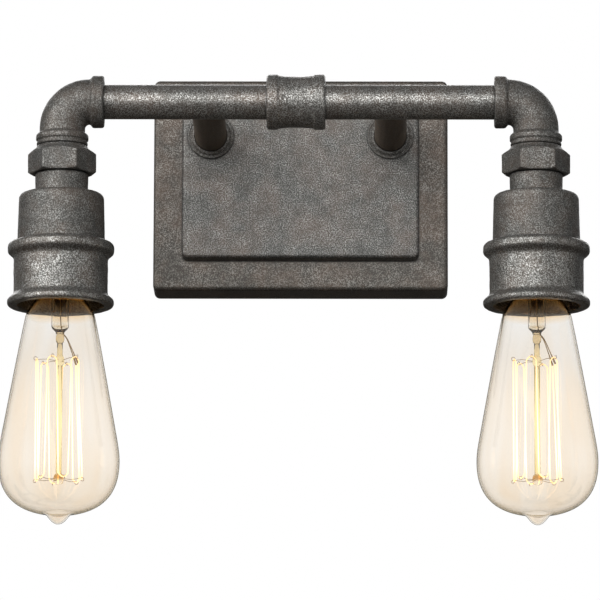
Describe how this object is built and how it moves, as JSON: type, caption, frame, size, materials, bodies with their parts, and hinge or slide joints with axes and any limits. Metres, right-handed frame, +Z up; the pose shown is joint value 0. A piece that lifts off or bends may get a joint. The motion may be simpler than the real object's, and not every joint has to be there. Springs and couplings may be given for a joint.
{
  "type": "vanity light",
  "caption": "Wall-mounted vanity light in pipe-fitting style: stepped rectangular wall plate, posts, cross pipe with elbows, and open sockets holding pear-shaped amber filament lamps.",
  "frame": {"origin": "middle of the wall plate on the wall plane, at the crossbar's centre", "axes": "+X to the right seen from the room, +Z up, -Y out from the wall into the room"},
  "size_m": [0.3136, 0.1518, 0.2593],
  "materials": {
    "weathered_iron": "dark weathered zinc with silver speckle and brown patches, satin",
    "dark_iron": "dark oiled brown, satin",
    "zinc_plate": "zinc plated",
    "steel_screw": "plain steel",
    "green_screw": "green plated",
    "brass_thread": "turned brass",
    "socket_brass": "rolled brass",
    "porcelain": "glazed",
    "amber_glass": "clear, amber tint",
    "clear_glass": "clear",
    "cap_brass": "rolled brass",
    "black_glass": "glossy black",
    "solder": "dull solder",
    "nickel_wire": "drawn wire",
    "glowing_filament": "glowing"
  },
  "bodies": {
    "fixture": {"mounting_bracket": "zinc_plate", "ground_screw": "green_screw", "set_screws": "steel_screw", "back_pan": "weathered_iron", "raised_panel": "weathered_iron", "left_post": "dark_iron", "right_post": "dark_iron", "left_post_flange": "weathered_iron", "right_post_flange": "weathered_iron", "post_nipples": "brass_thread", "post_washers": "zinc_plate", "post_lock_nuts": "brass_thread", "left_pipe": "weathered_iron", "right_pipe": "weathered_iron", "centre_coupling": "weathered_iron", "left_elbow": "weathered_iron", "right_elbow": "weathered_iron", "left_hex_bushing": "weathered_iron", "right_hex_bushing": "weathered_iron", "left_socket_cup": "weathered_iron", "right_socket_cup": "weathered_iron", "left_lower_coupling": "weathered_iron", "right_lower_coupling": "weathered_iron", "left_lamp_nipple": "brass_thread", "right_lamp_nipple": "brass_thread", "socket_lock_nuts": "brass_thread", "left_socket_bridge": "zinc_plate", "right_socket_bridge": "zinc_plate", "bridge_screws": "steel_screw", "terminal_screws": "socket_brass", "left_socket_body": "porcelain", "right_socket_body": "porcelain", "left_screw_shell": "socket_brass", "right_screw_shell": "socket_brass", "left_centre_contact": "socket_brass", "right_centre_contact": "socket_brass"},
    "left_lamp": {"left_bulb_glass": "amber_glass", "left_bulb_cap": "cap_brass", "left_cap_insulator": "black_glass", "left_cap_contact": "solder", "left_glass_stem": "clear_glass", "left_lead_wires": "nickel_wire", "left_support_wires": "nickel_wire", "left_filament": "glowing_filament"},
    "right_lamp": {"right_bulb_glass": "amber_glass", "right_bulb_cap": "cap_brass", "right_cap_insulator": "black_glass", "right_cap_contact": "solder", "right_glass_stem": "clear_glass", "right_lead_wires": "nickel_wire", "right_support_wires": "nickel_wire", "right_filament": "glowing_filament"}
  },
  "joints": [
    {"name": "left_lamp_unscrew", "type": "slide", "parent": "fixture", "child": "left_lamp", "axis": [0, 0, -1], "range_m": [0, 0.045]},
    {"name": "right_lamp_unscrew", "type": "slide", "parent": "fixture", "child": "right_lamp", "axis": [0, 0, -1], "range_m": [0, 0.045]}
  ]
}
